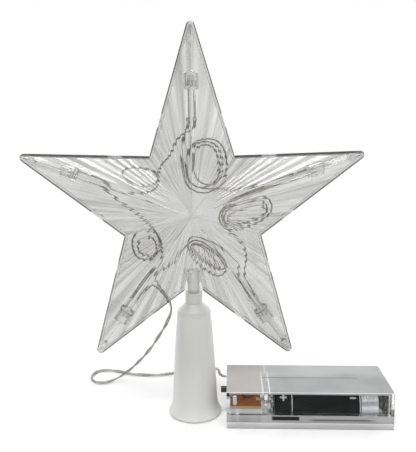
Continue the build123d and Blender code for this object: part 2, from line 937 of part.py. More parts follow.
carriage_start = switch_start + switch_sheet + slide_clearance
carriage_low = board_top_height + switch_block_height + slide_clearance
with BuildPart(case_plane) as switch_knob:
    slab((-knob_reach, carriage_start), spread(knob_back, knob_size), spread(knob_height, knob_size))
    slab(
        (carriage_start, carriage_start + carriage_length),
        spread(knob_back, carriage_width),
        (carriage_low, carriage_low + carriage_height),
    )
keep(switch_knob.part, "switch_knob")


# Cells: each lies along the case, its button end at one end and its flat end at the other
def cell_plane(along, back, direction):
    """The plane of a cell's flat end: Z runs along the cell to its button."""
    return Plane(
        origin=case_plane.from_local_coords((along, back, cell_height)),
        x_dir=case_plane.y_dir,
        z_dir=case_plane.x_dir * direction,
    )


can_length = cell_length - button_length
can_radius = cell_radius - sleeve_thickness
cells = {
    "front": cell_plane(front_flat, front_cell_back, -1),
    "rear": cell_plane(rear_flat, rear_cell_back, 1),
}
for name, flat_end in cells.items():
    with BuildPart(flat_end) as can:
        Cylinder(can_radius, can_length - seal_thickness, align=STANDING)
    keep(can.part, f"{name}_cell_can")
    with BuildPart(flat_end) as sleeve:
        Cylinder(cell_radius, can_length - seal_thickness, align=STANDING)
        Cylinder(can_radius, can_length - seal_thickness, align=STANDING, mode=Mode.SUBTRACT)
    keep(sleeve.part, f"{name}_cell_sleeve")
    with BuildPart(flat_end) as seal:
        with Locations((0, 0, can_length - seal_thickness)):
            Cylinder(seal_radius, seal_thickness, align=STANDING)
            Cylinder(button_radius + fit_clearance, seal_thickness, align=STANDING, mode=Mode.SUBTRACT)
    keep(seal.part, f"{name}_cell_seal")
    with BuildPart(flat_end) as button:
        with Locations((0, 0, can_length - seal_thickness)):
            Cylinder(button_radius, button_length + seal_thickness, align=STANDING)
        button_face = button.faces().sort_by(Axis(flat_end.origin, flat_end.z_dir))[-1]
        fillet(button_face.edges(), radius=button_length / 2)
    keep(button.part, f"{name}_cell_button")

# Contacts: two plates with tabs to the board, one bridge across the far ends, and two springs
contact_up = spread(cell_height, contact_height)
for name, cell_back in {"positive": front_cell_back, "negative": rear_cell_back}.items():
    with BuildPart(case_plane) as contact:
        slab((contact_face, cell_contact), spread(cell_back, contact_width), contact_up)
        slab((contact_tab_reach, cell_contact), spread(cell_back, contact_tab_width), tab_height)
    keep(contact.part, f"{name}_contact")

with BuildPart(case_plane) as bridge_contact:
    slab(
        (bridge_face, bridge_face + contact_thickness),
        (bridge_margin, case_depth - bridge_margin),
        (case_floor, contact_up[1]),
    )
keep(bridge_contact.part, "bridge_contact")


def spring_points(along, back, direction):
    """A tapering coil from a contact to a cell's flat end, with straight square ends."""
    corners = spring_quarter_turns
    rise = spring_length - 2 * spring_lead_in
    places = [(spring_lead_in + rise * corner / corners, corner) for corner in range(corners + 1)]
    points = []
    for height, corner in [(0, 0), *places, (spring_length, corners)]:
        radius = spring_base_radius + (spring_tip_radius - spring_base_radius) * corner / corners
        angle = math.radians(45 + 90 * corner)
        corner_reach = radius * math.sqrt(2)
        place = (
            along + direction * height,
            back + corner_reach * math.cos(angle),
            cell_height + corner_reach * math.sin(angle),
        )
        points.append(tuple(case_plane.from_local_coords(place)))
    return points


tube(spring_points(bridge_face, front_cell_back, -1), spring_wire_radius, "bridge_spring")
tube(spring_points(cell_contact, rear_cell_back, 1), spring_wire_radius, "negative_spring")
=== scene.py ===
# %% [markdown]
# # A clear star for the top of a tree
# The object is a clear plastic star with five small lamps and loops of thin wire inside it, a frosted
# socket that slips over the tip of a tree, and a battery case at the end of a thin twin lead.
# The CAD model already holds every piece at its true size, so this lesson does not place anything by eye:
# it gives the pieces their surfaces, and makes anew those that are soft or wound.

# %% Load the CAD frame
import math
import random

import bpy
from mathutils import Euler, Matrix, Vector


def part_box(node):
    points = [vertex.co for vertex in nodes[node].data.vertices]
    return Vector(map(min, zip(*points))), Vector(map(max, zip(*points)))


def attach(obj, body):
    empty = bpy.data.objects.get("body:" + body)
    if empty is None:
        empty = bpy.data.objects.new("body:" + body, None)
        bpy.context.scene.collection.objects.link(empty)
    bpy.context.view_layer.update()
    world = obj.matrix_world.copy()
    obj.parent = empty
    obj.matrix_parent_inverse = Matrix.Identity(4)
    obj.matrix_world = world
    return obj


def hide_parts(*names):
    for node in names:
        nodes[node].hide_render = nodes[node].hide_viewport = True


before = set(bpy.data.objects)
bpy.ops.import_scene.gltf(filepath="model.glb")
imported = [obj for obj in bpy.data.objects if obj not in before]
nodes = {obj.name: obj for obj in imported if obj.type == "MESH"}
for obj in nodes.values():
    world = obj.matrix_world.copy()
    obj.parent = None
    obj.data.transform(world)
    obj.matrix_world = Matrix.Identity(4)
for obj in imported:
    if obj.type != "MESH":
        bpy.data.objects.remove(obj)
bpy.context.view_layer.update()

# %% [markdown]
# ## Camera
# The photograph was taken from a little above the star's middle, looking slightly down. The place, the
# turns and the lens come from lining up the star's tips, the socket and the case with the picture.
# A camera could also be turned by hand until it fits, but with known numbers it is set once.

# %% Camera
camera_place = (0.00697, -0.27122, 0.14019)
camera_down = math.radians(9.39)
camera_right = math.radians(0.06)
camera_roll = math.radians(-0.51)
camera_lens = 45.49
camera_sensor = 36
level_aim = Euler((math.pi / 2 - camera_down, 0, -camera_right)).to_matrix()
aim = level_aim @ Matrix.Rotation(camera_roll, 3, "Z")
bpy.ops.object.camera_add(location=camera_place, rotation=aim.to_euler())
camera = bpy.context.object
camera.name = "photo_camera"
camera.data.lens = camera_lens
camera.data.sensor_width = camera_sensor
bpy.context.scene.camera = camera
print("camera at", camera_place, "lens", camera_lens)

# %% [markdown]
# ## The lead
# Two thin clear-coated strands, loosely twisted, leave the star by a hole in its rim, drop to the table,
# turn round a small loop and run behind the socket to the case. A tube alone would look like a hose, so
# the route is first drawn as one smooth spline, and the two strands are then wound round that line.

# %% The lead's route
lead_route = [
    (-0.01534, 0.0, 0.06305), (-0.01033, 0.0, 0.05656), (-0.0126, 0.002, 0.048),
    (-0.0175, 0.0085, 0.0384), (-0.024, 0.017, 0.0265), (-0.0315, 0.027, 0.0155),
    (-0.0385, 0.0355, 0.0065), (-0.045, 0.0365, 0.0016), (-0.0515, 0.0315, 0.001),
    (-0.058, 0.0335, 0.001), (-0.0615, 0.041, 0.001), (-0.0585, 0.049, 0.001),
    (-0.0505, 0.05, 0.001), (-0.0415, 0.045, 0.001), (-0.032, 0.0423, 0.001),
    (-0.0215, 0.042, 0.001), (-0.011, 0.0455, 0.001), (0.0, 0.0455, 0.002),
    (0.008, 0.0395, 0.005), (0.0116, 0.03, 0.0101), (0.0126, 0.0205, 0.0133),
    (0.0124, 0.0144, 0.0139), (0.01455, 0.01105, 0.0136), (0.01864, 0.01089, 0.0136),
    (0.02104, 0.01079, 0.0119), (0.02302, 0.01071, 0.0119),
]
print("lead route:", len(lead_route), "control points")

# %% Curve helpers
spline_order = 3


def spline_curve(name, points, steps):
    """A curve object of one smooth NURBS line with these control points."""
    curve = bpy.data.curves.new(name, "CURVE")
    curve.dimensions = "3D"
    curve.resolution_u = steps
    spline = curve.splines.new("NURBS")
    spline.points.add(len(points) - 1)
    for control, place in zip(spline.points, points):
        control.co = (*place, 1)
    spline.order_u = spline_order
    spline.use_endpoint_u = True
    line = bpy.data.objects.new(name, curve)
    bpy.context.scene.collection.objects.link(line)
    return line


def points_of(line):
    """The points along a curve with no bevel; the curve itself is then removed."""
    mesh = bpy.data.meshes.new_from_object(line)
    points = [v.co.copy() for v in mesh.vertices]
    bpy.data.meshes.remove(mesh)
    bpy.data.objects.remove(line)
    return points


def joined(pieces, name):
    """Several mesh objects made into one."""
    bpy.ops.object.select_all(action="DESELECT")
    for piece in pieces:
        piece.select_set(True)
    bpy.context.view_layer.objects.active = pieces[0]
    bpy.ops.object.join()
    bpy.context.object.name = name
    return bpy.context.object


def round_wire(name, points, radius, steps=8, sides=2):
    """A round wire along one smooth line, made a mesh the way the object menu's Convert does."""
    line = spline_curve(name, points, steps)
    line.data.bevel_depth = radius
    line.data.bevel_resolution = sides
    line.data.use_fill_caps = True
    bpy.ops.object.select_all(action="DESELECT")
    line.select_set(True)
    bpy.context.view_layer.objects.active = line
    bpy.ops.object.convert(target="MESH")
    bpy.ops.object.shade_smooth()
    return bpy.context.object


# %% The lead's line
lead_steps = 10
lead_line = points_of(spline_curve("lead_line", lead_route, lead_steps))

# %% The lead's strands
strand_radius = 0.00044
strand_offset = 0.00046
core_radius = 0.00024
twist_pitch = 0.028


def wound_round(points, offset, pitch, start_angle):
    """Points that wind round a line at an offset, one turn in each pitch."""
    wound, travelled = [], 0.0
    side = (points[1] - points[0]).orthogonal().normalized()
    for number, here in enumerate(points):
        before, after = points[max(number - 1, 0)], points[min(number + 1, len(points) - 1)]
        along = (after - before).normalized()
        side = (side - along * side.dot(along)).normalized()
        across = along.cross(side)
        travelled += (here - before).length
        angle = start_angle + 2 * math.pi * travelled / pitch
        wound.append(here + offset * (math.cos(angle) * side + math.sin(angle) * across))
    return wound


strands = [wound_round(lead_line, strand_offset, twist_pitch, half * math.pi) for half in (0, 1)]
sheath = joined(
    [round_wire(f"strand_{n}", strand, strand_radius, steps=1) for n, strand in enumerate(strands)],
    "lead_sheath",
)
core = joined(
    [round_wire(f"core_{n}", strand, core_radius, steps=1, sides=1) for n, strand in enumerate(strands)],
    "lead_core",
)
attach(sheath, "star_and_case")
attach(core, "star_and_case")
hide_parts("lead_cord")
print("strands:", len(sheath.data.polygons), "faces")

# %% [markdown]
# ## Studio
# Clear plastic shows its surroundings more than itself. A star in an evenly white room would vanish, so
# the room that the plastic bends and mirrors is white behind the star and overhead, greyer at its sides
# and in front, and a little patchy. The camera itself always sees a white room. A painted backdrop with
# cards around it would do the same on a table. First come a few helpers that save typing; most find the
# node tree by the socket they are given.

# %% Node helpers
def add_node(tree, kind, inputs=None, **settings):
    """A new shader node with some of its settings and input values."""
    made = tree.nodes.new("ShaderNode" + kind)
    for name, value in settings.items():
        setattr(made, name, value)
    for name, value in (inputs or {}).items():
        made.inputs[name].default_value = value
    return made


def link(source, target):
    """Link one socket to another."""
    source.id_data.links.new(source, target)


def math_node(operation, first, second=None, third=None):
    """One Math node of sockets and plain numbers."""
    made = add_node(first.id_data, "Math", operation=operation)
    for socket, value in zip(made.inputs, (first, second, third)):
        if isinstance(value, (int, float)):
            socket.default_value = value
        elif value is not None:
            link(value, socket)
    return made.outputs[0]


def product(first, *others):
    """Values multiplied, such as masks that all have to hold."""
    for other in others:
        first = math_node("MULTIPLY", first, other)
    return first


def largest(first, *others):
    """The largest value, such as masks of which one has to hold."""
    for other in others:
        first = math_node("MAXIMUM", first, other)
    return first


def grey(level):
    return (level, level, level)


def ramp_node(source, stops):
    """A colour ramp from pairs of a position and a colour; a single number is a grey."""
    made = add_node(source.id_data, "ValToRGB")
    elements = made.color_ramp.elements
    while len(elements) < len(stops):
        elements.new(1.0)
    for element, (position, colour) in zip(elements, stops):
        element.position = position
        element.color = (*(colour if isinstance(colour, tuple) else grey(colour)), 1.0)
    link(source, made.inputs["Fac"])
    return made.outputs["Color"]


def range_node(source, low, high, to_low=0.0, to_high=1.0):
    """A value carried from one span to another and held at its ends."""
    spans = {"From Min": low, "From Max": high, "To Min": to_low, "To Max": to_high}
    made = add_node(source.id_data, "MapRange", spans, clamp=True)
    link(source, made.inputs["Value"])
    return made.outputs["Result"]


def mixed(factor, first, second):
    """A colour between two, each a plain colour or a socket."""
    made = add_node(factor.id_data, "Mix", data_type="RGBA")
    link(factor, made.inputs["Factor"])
    for name, value in (("A", first), ("B", second)):
        if isinstance(value, tuple):
            made.inputs[name].default_value = (*value, 1)
        else:
            link(value, made.inputs[name])
    return made.outputs["Result"]


# %% Room
wall_greys = [(0.0, 0.15), (0.5, 0.33), (0.75, 0.75), (0.9, 1.0)]
light_greys = [(0.0, 0.36), (0.5, 0.40), (1.0, 0.50)]
overhead_span = (0.45, 0.9)
overhead_white = grey(0.95)
noise_span = (0.35, 0.65)
patch_levels = (0.8, 1.08)
room = bpy.data.worlds.new("studio_room")
bpy.context.scene.world = room
room.use_nodes = True
tree = room.node_tree
toward_room = add_node(tree, "TexCoord").outputs["Generated"]
direction = add_node(tree, "SeparateXYZ")
link(toward_room, direction.inputs[0])
patches = add_node(tree, "TexNoise", {"Scale": 6, "Detail": 1})
link(toward_room, patches.inputs["Vector"])
walls = ramp_node(range_node(direction.outputs["Y"], -1, 1), wall_greys)
overhead = range_node(direction.outputs["Z"], *overhead_span)
uneven = add_node(tree, "VectorMath", operation="SCALE")
link(mixed(overhead, walls, overhead_white), uneven.inputs[0])
patch_light = range_node(patches.outputs["Fac"], *noise_span, *patch_levels)
link(patch_light, uneven.inputs["Scale"])
soft_light = ramp_node(range_node(direction.outputs["Z"], -1, 1), light_greys)
ray = add_node(tree, "LightPath").outputs
through_glass = largest(ray["Is Glossy Ray"], ray["Is Transmission Ray"])
shown = mixed(through_glass, soft_light, uneven.outputs["Vector"])
room_colour = mixed(ray["Is Camera Ray"], shown, grey(1.0))
link(room_colour, tree.nodes["Background"].inputs["Color"])
bpy.context.scene.view_settings.view_transform = "Standard"
print("room made with", len(tree.nodes), "nodes")

# %% [markdown]
# ### Floor
# The table is matt white paper. Near the object it is real paper that takes the shadow; farther out it
# fades to plain white, so that no edge of the paper shows behind the star.

# %% Floor
floor_size = 4.0
paper_greys = [(0.3, 0.93), (0.7, 0.96)]
paper_fades = (0.16, 0.42)


def new_finish(name, levels=None):
    """A material, its tree and its Principled shader, with levels set on the shader by socket name."""
    made = bpy.data.materials.new(name)
    made.use_nodes = True
    shader = made.node_tree.nodes["Principled BSDF"]
    for socket, value in (levels or {}).items():
        shader.inputs[socket].default_value = value
    return made, made.node_tree, shader


bpy.ops.mesh.primitive_plane_add(size=floor_size, location=(0, 0, 0))
floor = bpy.context.object
floor.name = "floor"
paper, tree, shader = new_finish("floor_paper", {"Roughness": 0.7})
coordinates = add_node(tree, "TexCoord").outputs["Object"]
fibre = add_node(tree, "TexNoise", {"Scale": 900})
link(coordinates, fibre.inputs["Vector"])
link(ramp_node(fibre.outputs["Fac"], paper_greys), shader.inputs["Base Color"])
far = add_node(tree, "VectorMath", operation="LENGTH")
link(coordinates, far.inputs[0])
ray = add_node(tree, "LightPath").outputs
seen_rays = largest(ray["Is Camera Ray"], ray["Is Transmission Ray"], ray["Is Glossy Ray"])
white = add_node(tree, "Emission")
fade = add_node(tree, "MixShader")
to_white = product(seen_rays, range_node(far.outputs["Value"], *paper_fades))
link(to_white, fade.inputs["Fac"])
link(shader.outputs["BSDF"], fade.inputs[1])
link(white.outputs["Emission"], fade.inputs[2])
link(fade.outputs["Shader"], tree.nodes["Material Output"].inputs["Surface"])
floor.data.materials.append(paper)
print("floor", floor_size, "m")

# %% [markdown]
# ### Studio lamps
# A narrow strip above and just in front of the star makes the flutes on the upper facets of its side arms
# flash in thin white streaks, as they do in the photograph. A softbox behind lights the clear walls from
# within, and two weak fills in front and at the right keep the socket even.

# %% Studio lamps
star_middle = Vector((0, 0, 0.1021))


def soft_lamp(name, toward, distance, size, power):
    """A rectangular lamp in one direction from the star, facing it."""
    place = star_middle + Vector(toward).normalized() * distance
    bpy.ops.object.light_add(type="AREA", location=place)
    lamp = bpy.context.object
    lamp.name = name
    lamp.rotation_euler = (star_middle - place).to_track_quat("-Z", "Y").to_euler()
    lamp.data.shape = "RECTANGLE"
    lamp.data.size, lamp.data.size_y = size
    lamp.data.energy = power
    print(name, "at", [round(x, 2) for x in place], power, "W")


soft_lamp("overhead_strip", toward=(0.0, -0.3, 0.95), distance=1.0, size=(0.7, 0.22), power=5.5)
soft_lamp("back_softbox", toward=(0.0, 0.6, 0.8), distance=1.0, size=(0.9, 0.4), power=3.5)
soft_lamp("front_fill", toward=(-0.25, -1.0, 0.6), distance=1.4, size=(1.2, 0.9), power=3.0)
soft_lamp("side_fill", toward=(1.0, -0.7, 0.15), distance=1.2, size=(0.9, 0.9), power=2.2)

# %% [markdown]
# ## Finishes
# Every finish below is a Principled shader whose colour, roughness and bump come from small noise
# patterns in the object's own coordinates, so that no surface is one flat colour. What is the same all
# over, such as how clear a plastic is, is set on the shader itself.

# %% Finish helpers
wide_span = (0.3, 0.7)


def axes_of(tree, kind):
    """X, Y and Z of a piece's own coordinates (Object) or of the way its surface faces (Normal)."""
    split = add_node(tree, "SeparateXYZ")
    link(add_node(tree, "TexCoord").outputs[kind], split.inputs[0])
    return split.outputs


def noise(tree, scale, detail=3.0, stretch=(1, 1, 1)):
    """Noise in the piece's own coordinates, stretched along its axes where asked."""
    place = add_node(tree, "Mapping", {"Scale": stretch})
    made = add_node(tree, "TexNoise", {"Scale": scale, "Detail": detail})
    link(add_node(tree, "TexCoord").outputs["Object"], place.inputs["Vector"])
    link(place.outputs["Vector"], made.inputs["Vector"])
    return made.outputs["Fac"]


def tones(source, low, high, span=noise_span):
    """Colours that wander between two close tones."""
    return ramp_node(source, list(zip(span, (low, high))))


def tint(shader, low, high, source):
    """A base colour that wanders between two close tones."""
    link(tones(source, low, high), shader.inputs["Base Color"])


def wear(shader, low, high, source):
    """Roughness that wanders between two levels."""
    link(range_node(source, *noise_span, low, high), shader.inputs["Roughness"])


def bump(shader, source, strength, distance):
    """Small dents and rises in the surface, led by a noise."""
    made = add_node(shader.id_data, "Bump", {"Strength": strength, "Distance": distance})
    link(source, made.inputs["Height"])
    link(made.outputs["Normal"], shader.inputs["Normal"])


def dress(finish, *names):
    """Give CAD nodes a finish in place of the one they came with."""
    for name in names:
        slots = nodes[name].data.materials
        slots.clear()
        slots.append(finish)


# %% [markdown]
# ### Star plastic
# The star is two half shells of clear polystyrene, welded along the rim. Its flutes are real grooves on
# the inside of the CAD shells, so the material only has to bend light as the plastic does, with a faint
# grey tint and the slow ripples that a moulding keeps. The tint carries painted light as well: it is
# lighter towards the top, and outside the plain hub it wanders in painted streaks of light and shade with
# the angle round the star's middle. The outer edges are painted with shade, a duller dark grey.

# %% Star plastic
low_tones = ((0.74, 0.74, 0.73), (0.78, 0.78, 0.77))
upper_painted_light_tones = ((0.80, 0.80, 0.79), (0.84, 0.84, 0.83))
painted_light_heights = (0.095, 0.14)
painted_streak_greys = [(0.35, 0.88), (0.6, 1.07)]
hub_reach = (0.0115, 0.014375)
edge_least_reach = 0.01
edge_facing = 0.2
rim_shade_grey = (0.16, 0.16, 0.155)
rim_shade_clearness = 0.35


def vector_node(operation, first, second, answer="Vector"):
    """One Vector Math node of sockets and plain vectors."""
    made = add_node(first.id_data, "VectorMath", operation=operation)
    for socket, value in zip(made.inputs, (first, second)):
        if isinstance(value, Vector):
            socket.default_value = value
        else:
            link(value, socket)
    return made.outputs[answer]


def reach_of(first, second):
    """How far a place lies from an axis, by its two coordinates across that axis."""
    squares = [product(side, side) for side in (first, second)]
    return math_node("SQRT", math_node("ADD", *squares))


star_plastic, tree, shader = new_finish("star_clear_plastic", {"IOR": 1.5})
ripple = noise(tree, 60, 2)
wear(shader, 0.0, 0.02, noise(tree, 180))
bump(shader, ripple, strength=0.5, distance=0.00004)
coordinates = add_node(tree, "TexCoord").outputs
from_middle = vector_node("SUBTRACT", coordinates["Object"], star_middle)
outward = vector_node("DOT_PRODUCT", from_middle, coordinates["Normal"], "Value")
aside = math_node("ABSOLUTE", axes_of(tree, "Normal")["Y"])
shaded_rim = product(
    math_node("GREATER_THAN", outward, edge_least_reach),
    math_node("LESS_THAN", aside, edge_facing),
)
place = axes_of(tree, "Object")
# Painted light: the star's tint is lighter towards its top.
painted_light_share = range_node(place["Z"], *painted_light_heights)
tint_and_painted_light = mixed(painted_light_share, tones(ripple, *low_tones), tones(ripple, *upper_painted_light_tones))
offset = add_node(tree, "SeparateXYZ")
link(from_middle, offset.inputs[0])
across, rise = offset.outputs["X"], offset.outputs["Z"]
# Painted streaks of light and shade: the tint gets lighter and darker with the angle round the middle.
rays = add_node(tree, "TexNoise", {"Scale": 16, "Detail": 2}, noise_dimensions="1D")
link(math_node("ARCTAN2", rise, across), rays.inputs["W"])
past_hub = range_node(reach_of(across, rise), *hub_reach)
painted_streak_tone = mixed(past_hub, grey(1.0), ramp_node(rays.outputs["Fac"], painted_streak_greys))
tint_with_painted_streaks = vector_node("MULTIPLY", tint_and_painted_light, painted_streak_tone)
# Painted shade: the outer rim walls get a dark grey that lets less light through.
link(mixed(shaded_rim, tint_with_painted_streaks, rim_shade_grey), shader.inputs["Base Color"])
link(range_node(shaded_rim, 0, 1, 1.0, rim_shade_clearness), shader.inputs["Transmission Weight"])
print(star_plastic.name, "streaked past", hub_reach[0], "m from the middle")

# %% [markdown]
# ### Weld line
# The weld shows as a thin dark outline, partly the weld itself and partly painted shade, so it is drawn
# where the two rims touch, by the distance to the ten edges of the star. On the top edges it is wider, as
# painted shade, and it is fainter where a snap tongue sits, as a painted glint. Where plastic touches
# plastic, and at the collar round the socket's plug, light passes straight through, because two faces that
# lie on each other do not bend it.

# %% Clear walls
flat_facing = 0.9
contact_gap = 0.00003


def let_lamps_through(shader, level, touching=None, touching_level=(1.0, 1.0, 1.0)):
    """Light from the lamps passes the clear wall, and so does all light where two pieces touch."""
    tree = shader.id_data
    clear = add_node(tree, "BsdfTransparent", {"Color": (*grey(level), 1)})
    passes = add_node(tree, "LightPath").outputs["Is Shadow Ray"]
    if touching is not None:
        link(mixed(touching, grey(level), touching_level), clear.inputs["Color"])
        passes = largest(passes, touching)
    mix = add_node(tree, "MixShader")
    link(passes, mix.inputs["Fac"])
    link(shader.outputs["BSDF"], mix.inputs[1])
    link(clear.outputs["BSDF"], mix.inputs[2])
    link(mix.outputs["Shader"], tree.nodes["Material Output"].inputs["Surface"])


def contact_faces(tree, axis, level):
    """One on the flat faces at one level along an axis, where one clear piece sits on another."""
    facing = math_node("ABSOLUTE", axes_of(tree, "Normal")[axis])
    near = math_node("COMPARE", axes_of(tree, "Object")[axis], level, contact_gap)
    return product(math_node("GREATER_THAN", facing, flat_facing), near)


# %% Weld line
# The outline's dark is partly painted shade; it is wider on the top edges as painted shade and lighter at
# the snap tongues as a painted glint.
weld_clear, weld_and_shade_dark = 0.8, 0.2
weld_width, upper_shade_width = 0.0006, 0.0013
weld_soft = 1.3
faces_down = -0.9
tongue_half = 0.0034
tongue_share, lower_tongue_share = 0.25, 0.45
tongue_glint_fade = 0.25
collar_radius, collar_top = 0.0046, 0.0734
collar_clear = (0.91, 0.91, 0.905)
star_pass = 0.94
tip_places = [(90, 0.0924), (18.7, 0.0897), (-55.8, 0.0884), (-124.2, 0.0884), (161.3, 0.0897)]
notch_places = [(53.4, 0.0335), (-18.9, 0.0347), (-90, 0.0348), (-161.1, 0.0347), (126.6, 0.0335)]


def around_star(angle, reach=1.0):
    """A place in the star's plane by its angle and its reach from the middle."""
    return Vector((math.cos(math.radians(angle)), 0, math.sin(math.radians(angle)))) * reach


def weld_and_shade_mask(offset):
    """A thin line of weld and painted shade along the outline, wider on top, fainter at tongues as a painted
    glint.
    """
    outline = [around_star(*place) for pair in zip(tip_places, notch_places) for place in pair]
    lines = []
    for start, end in zip(outline, outline[1:] + outline[:1]):
        length = (end - start).length
        along = (end - start).normalized()
        inward = Vector((along.z, 0, -along.x))
        width = upper_shade_width if inward.z < faces_down else weld_width
        from_start = vector_node("SUBTRACT", offset, start)
        onward = vector_node("DOT_PRODUCT", from_start, along, "Value")
        inside = vector_node("DOT_PRODUCT", from_start, inward, "Value")
        lowest = any(abs(corner.x) < weld_width and corner.z < 0 for corner in (start, end))
        share = lower_tongue_share if lowest else tongue_share
        tongue = length * (share if start.length < end.length else 1 - share)
        at_tongue = math_node("COMPARE", onward, tongue, tongue_half)
        lines.append(product(
            math_node("COMPARE", onward, length / 2, length / 2),
            range_node(inside, width, weld_soft * width, 1, 0),
            math_node("GREATER_THAN", inside, -width),
            range_node(at_tongue, 0, 1, 1, tongue_glint_fade),
        ))
    return largest(*lines)


weld_and_shade = range_node(weld_and_shade_mask(from_middle), 0, 1, weld_clear, weld_and_shade_dark)
collar = product(
    math_node("LESS_THAN", reach_of(place["X"], place["Y"]), collar_radius),
    math_node("LESS_THAN", place["Z"], collar_top),
)
touching = largest(contact_faces(tree, "Y", 0.0), collar)
let_lamps_through(shader, star_pass, touching, mixed(collar, weld_and_shade, collar_clear))
dress(star_plastic, "star_front_shell", "star_back_shell")
print("star dressed in", star_plastic.name)

# %% [markdown]
# ### Socket plastic
# The socket is milky polyethylene with a matt skin. A little transmission and scattering under the surface
# let light creep sideways inside it. Its tone follows the height and how far the surface turns away, and is
# painted light where the socket gets less light: lighter at its foot, at the neck inside the star, at its
# outline and on the side towards the case. It is darker at the shoulder.

# %% Socket plastic
neck_heights = (0.0625, 0.0645)
foot_heights = (0.002, 0.03)
shoulder_heights = (0.051, 0.055)
case_heights = (0.01, 0.05)
case_facing, glow_facing = (0.35, 0.95), (0.3, 0.8)
body_tones = ((0.69, 0.69, 0.665), (0.73, 0.73, 0.705))
foot_painted_light, shoulder_tone, neck_painted_light = (0.9, 0.9, 0.88), (0.6, 0.6, 0.58), (0.86, 0.86, 0.85)
painted_glow_tone = (1.0, 1.0, 0.98)
body_clearness, neck_clearness = 0.25, 0.12
foot_share, glow_share, case_least = 0.8, 0.9, 0.2
socket_plastic, tree, shader = new_finish("socket_frosted_plastic", {
    "Subsurface Weight": 0.4,
    "Subsurface Radius": (1.0, 1.0, 0.95),
    "Subsurface Scale": 0.004,
})
height = axes_of(tree, "Object")["Z"]
neck = range_node(height, *neck_heights)
clearness = range_node(neck, 0, 1, body_clearness, neck_clearness)
link(clearness, shader.inputs["Transmission Weight"])
tone = tones(noise(tree, 90, 4, (1, 1, 0.4)), *body_tones)
# Painted light: the foot, the outline, the side towards the case and the neck are lighter; the shoulder is
# darker.
tone = mixed(range_node(height, *foot_heights, foot_share, 0), tone, foot_painted_light)
tone = mixed(range_node(height, *shoulder_heights), tone, shoulder_tone)
outline = add_node(tree, "LayerWeight", {"Blend": 0.5}).outputs["Facing"]
tone = mixed(range_node(outline, *glow_facing, 0, glow_share), tone, painted_glow_tone)
painted_light_beside_case = product(
    range_node(axes_of(tree, "Normal")["X"], *case_facing),
    range_node(height, *case_heights, 1, case_least),
)
tone = mixed(painted_light_beside_case, tone, painted_glow_tone)
link(mixed(neck, tone, neck_painted_light), shader.inputs["Base Color"])
wear(shader, 0.38, 0.5, noise(tree, 700, 2))
bump(shader, noise(tree, 2500, 2), strength=0.12, distance=0.0001)
dress(socket_plastic, "tree_socket")
print("socket dressed in", socket_plastic.name)

# %% [markdown]
# ## Wires inside the star
# Thin lacquered wire links the five lamps. What is left over between two lamps is folded into a loose
# hank, so each run is one wire that leaves a lamp's leg, goes round a few times and ends at the next.
# One spline through a handful of points for each run gives the soft bends of thin wire, and a small
# seeded wander keeps the turns from lying in step, as hand-folded turns never do.

# %% Wire points
wire_radius = 0.0004
notch_reach = 0.0347
turn_step = 0.0024
layer_shift = 2
layer_depth = 0.0008
leg_aside = 0.00127
arms = {
    "top": (90, 0.043),
    "right": (18.7, 0.051),
    "lower_right": (-55.8, 0.051),
    "lower_left": (235.8, 0.051),
    "left": (161.3, 0.051),
}
lead_hole = Vector((-0.01168, 0, -0.0438))
lead_outward = Vector((0.6106, 0, -0.7920))
lead_inside = 0.006
strand_aside = 0.00045
hand = random.Random(12)
hand_wander = 0.0025


def in_star(across, up, depth=0.0):
    """A place in the star's plane, as shares of the side notches' radius."""
    return star_middle + Vector((across * notch_reach, -depth, up * notch_reach))


def leg_point(arm, side, share=1.0):
    """A place on the line of one lamp leg."""
    angle, reach = arms[arm]
    out = around_star(angle)
    return star_middle + out * reach * share + Vector((out.z, 0, -out.x)) * side * leg_aside


def near_lead(inward, aside):
    """A place inside the rim where the lead comes in."""
    across = Vector((-lead_outward.z, 0, lead_outward.x))
    return star_middle + lead_hole - lead_outward * lead_inside * inward + across * aside


corners = {"top_right": (1, 1), "top_left": (-1, 1), "bottom_left": (-1, -1), "bottom_right": (1, -1)}


def hank(centre, half, tilt, first, inward, outward):
    """Loose turns that go so many corners inward on the front layer, and outward on the back one."""
    start, lean = list(corners).index(first), math.radians(tilt)
    places = []
    for number in range(inward + outward):
        coming_in = number < inward
        inset = number if coming_in else inward - 1 - (number - inward) + layer_shift
        signs = list(corners.values())[(start + number) % len(corners)]
        aside, upward = [
            sign * (size * notch_reach - turn_step * inset / len(corners) - hand.uniform(0, hand_wander))
            for sign, size in zip(signs, half)
        ]
        across = aside * math.cos(lean) - upward * math.sin(lean)
        up = aside * math.sin(lean) + upward * math.cos(lean)
        depth = layer_depth if coming_in else -layer_depth
        places.append(in_star(centre[0], centre[1], depth) + Vector((across, 0, up)))
    return places


